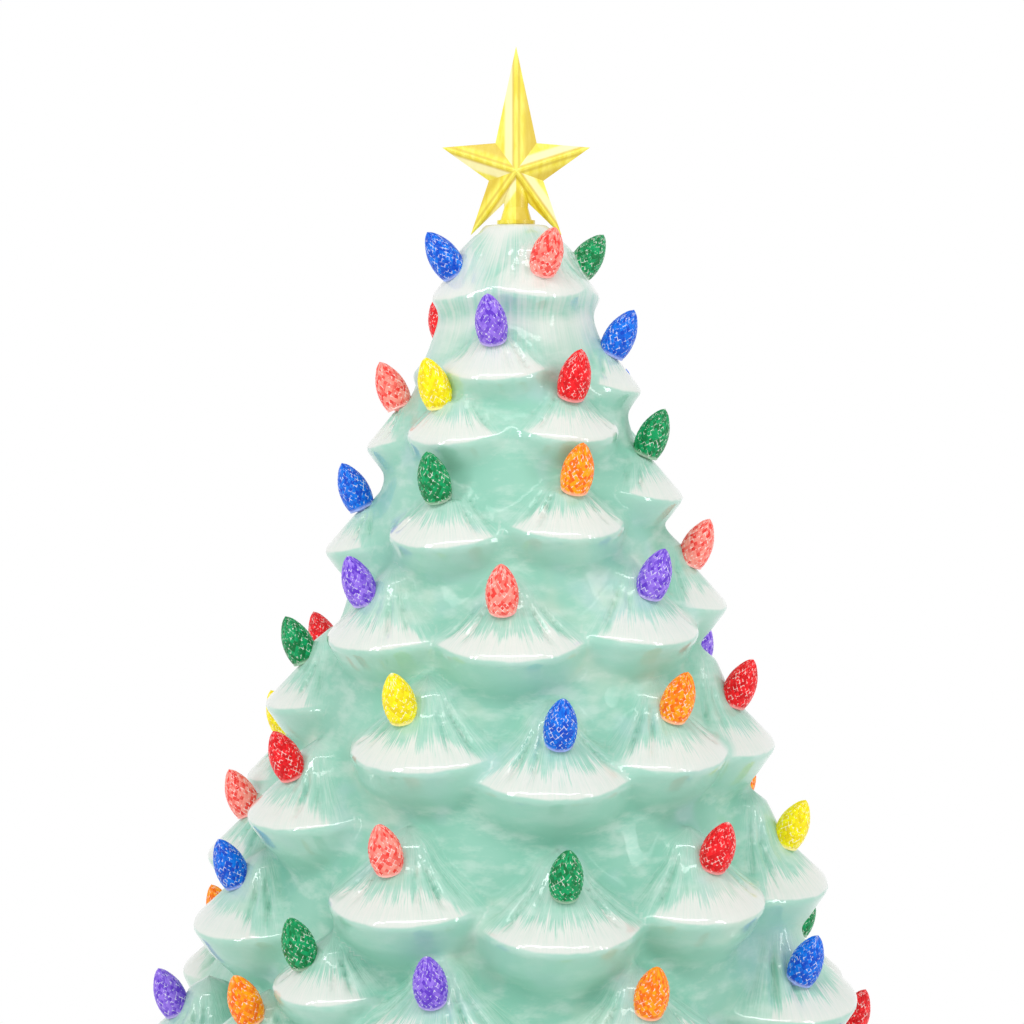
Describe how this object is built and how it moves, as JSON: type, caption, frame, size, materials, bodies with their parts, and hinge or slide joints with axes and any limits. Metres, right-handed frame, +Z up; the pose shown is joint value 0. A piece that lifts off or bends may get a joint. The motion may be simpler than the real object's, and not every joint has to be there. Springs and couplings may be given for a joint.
{
  "type": "ceramic christmas tree",
  "caption": "Table-top hollow ceramic tree of rounded glazed boughs with coloured plastic bulbs and a star, set over a battery lamp on a round ceramic base.",
  "frame": {"origin": "on the floor under the middle of the base", "axes": "+Z up along the tree's axis, -Y towards the front seen in the picture, +X to the right"},
  "size_m": [0.2433, 0.24, 0.381],
  "materials": {
    "glaze": "gloss mint glaze with a pearl sheen and white brushed snow on the boughs",
    "pad_rubber": "matt, pale",
    "washer_rubber": "matt, black",
    "housing_plastic": "fine-grained white moulding",
    "board": "white board lacquer",
    "emitter": "yellow phosphor",
    "screw_steel": "plated",
    "diffuser": "frosted",
    "cell_wrap": "plain printed-free wrap",
    "contact_steel": "nickel plated",
    "switch_plastic": "black moulding",
    "knob_plastic": "black moulding",
    "lead_black": "soft wire jacket",
    "lead_red": "soft wire jacket",
    "star_plastic": "clear yellow moulding with polished facets",
    "bulb_blue": "clear coloured moulding cut with small diamond facets",
    "bulb_green": "clear coloured moulding cut with small diamond facets",
    "bulb_orange": "clear coloured moulding cut with small diamond facets",
    "bulb_pink": "clear coloured moulding cut with small diamond facets",
    "bulb_purple": "clear coloured moulding cut with small diamond facets",
    "bulb_red": "clear coloured moulding cut with small diamond facets",
    "bulb_yellow": "clear coloured moulding cut with small diamond facets"
  },
  "bodies": {
    "base_body": {"base_front": "glaze", "base_right": "glaze", "base_back": "glaze", "base_left": "glaze", "foot_pads": "pad_rubber", "module_housing": "housing_plastic", "lock_ring": "housing_plastic", "sealing_washer": "washer_rubber", "led_board": "board", "led_emitters": "emitter", "board_screws": "screw_steel", "led_diffuser": "diffuser", "battery_cells": "cell_wrap", "battery_links": "contact_steel", "contact_negative": "contact_steel", "contact_positive": "contact_steel", "switch_body": "switch_plastic", "lead_negative": "lead_black", "lead_positive": "lead_red", "lead_switched": "lead_red"},
    "tree_body": {"tree_front": "glaze", "tree_right": "glaze", "tree_back": "glaze", "tree_left": "glaze", "bulbs_blue": "bulb_blue", "bulbs_green": "bulb_green", "bulbs_orange": "bulb_orange", "bulbs_pink": "bulb_pink", "bulbs_purple": "bulb_purple", "bulbs_red": "bulb_red", "bulbs_yellow": "bulb_yellow"},
    "star_body": {"star_topper": "star_plastic"},
    "door_body": {"battery_door": "housing_plastic"},
    "knob_body": {"switch_knob": "knob_plastic"}
  },
  "joints": [
    {"name": "tree_lift", "type": "slide", "parent": "base_body", "child": "tree_body", "axis": [0, 0, 1], "range_m": [0, 0.06]},
    {"name": "star_lift", "type": "slide", "parent": "tree_body", "child": "star_body", "axis": [0, 0, 1], "range_m": [0, 0.025]},
    {"name": "battery_door_slide", "type": "slide", "parent": "base_body", "child": "door_body", "axis": [0, 1, 0], "range_m": [0, 0.008]},
    {"name": "switch_slide", "type": "slide", "parent": "base_body", "child": "knob_body", "axis": [1, 0, 0], "range_m": [0, 0.003]}
  ]
}
